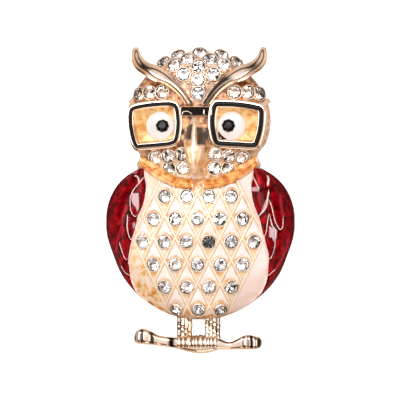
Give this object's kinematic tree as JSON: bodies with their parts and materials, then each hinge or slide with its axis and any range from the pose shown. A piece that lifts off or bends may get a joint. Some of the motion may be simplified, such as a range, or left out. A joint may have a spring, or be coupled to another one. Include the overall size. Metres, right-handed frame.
{
  "type": "owl brooch with spectacles",
  "caption": "Cast figural brooch: an owl with black-rimmed spectacles standing on a branch, with enamelled wings, a stone-set lattice on its chest and a pin at its hollow back.",
  "frame": {"origin": "on the plane of the back rim, in the middle of the brooch's box", "axes": "+X to the viewer's right, +Y towards the head, +Z out of the front, towards the viewer"},
  "size_m": [0.0314, 0.0512, 0.0106],
  "materials": {
    "gold": "polished pale rose-gold plating",
    "red_enamel": "glossy translucent red enamel",
    "pale_enamel": "glossy pearly pale pink enamel",
    "amber_enamel": "glossy translucent amber enamel",
    "black_enamel": "glossy black enamel",
    "white_enamel": "glossy pearly white enamel",
    "clear_stone": "clear cut glass, foiled at the back",
    "jet_stone": "black cut glass",
    "pin_steel": "plated steel"
  },
  "bodies": {
    "root": {"casting": "gold", "wing_enamel_left": "red_enamel", "wing_enamel_right": "red_enamel", "breast_enamel": "pale_enamel", "collar_enamel_left": "amber_enamel", "collar_enamel_right": "amber_enamel", "rim_enamel_left": "black_enamel", "rim_enamel_right": "black_enamel", "bridge_enamel": "black_enamel", "eye_enamel_left": "amber_enamel", "eye_enamel_right": "amber_enamel", "eyeball_left": "white_enamel", "eyeball_right": "white_enamel", "pupil_left": "jet_stone", "pupil_right": "jet_stone", "crown_stones": "clear_stone", "brow_stones_left": "clear_stone", "brow_stones_right": "clear_stone", "cheek_stones_left": "clear_stone", "cheek_stones_right": "clear_stone", "pin_clasp": "pin_steel", "chest_stone_01": "clear_stone", "chest_stone_02": "clear_stone", "chest_stone_03": "clear_stone", "chest_stone_04": "clear_stone", "chest_stone_05": "clear_stone", "chest_stone_06": "clear_stone", "chest_stone_07": "clear_stone", "chest_stone_08": "clear_stone", "chest_stone_09": "clear_stone", "chest_stone_10": "clear_stone", "chest_stone_11": "clear_stone", "chest_stone_12": "clear_stone", "chest_stone_13": "clear_stone", "chest_stone_14": "clear_stone", "chest_stone_15": "clear_stone", "chest_stone_16": "clear_stone", "chest_stone_17": "clear_stone", "chest_stone_18": "clear_stone", "chest_stone_19": "clear_stone", "chest_stone_20": "clear_stone", "chest_stone_21": "clear_stone", "chest_stone_22": "clear_stone", "chest_stone_23": "clear_stone", "chest_stone_24": "clear_stone", "chest_stone_25": "clear_stone", "chest_stone_26": "clear_stone", "chest_stone_27": "clear_stone"}
  },
  "joints": []
}
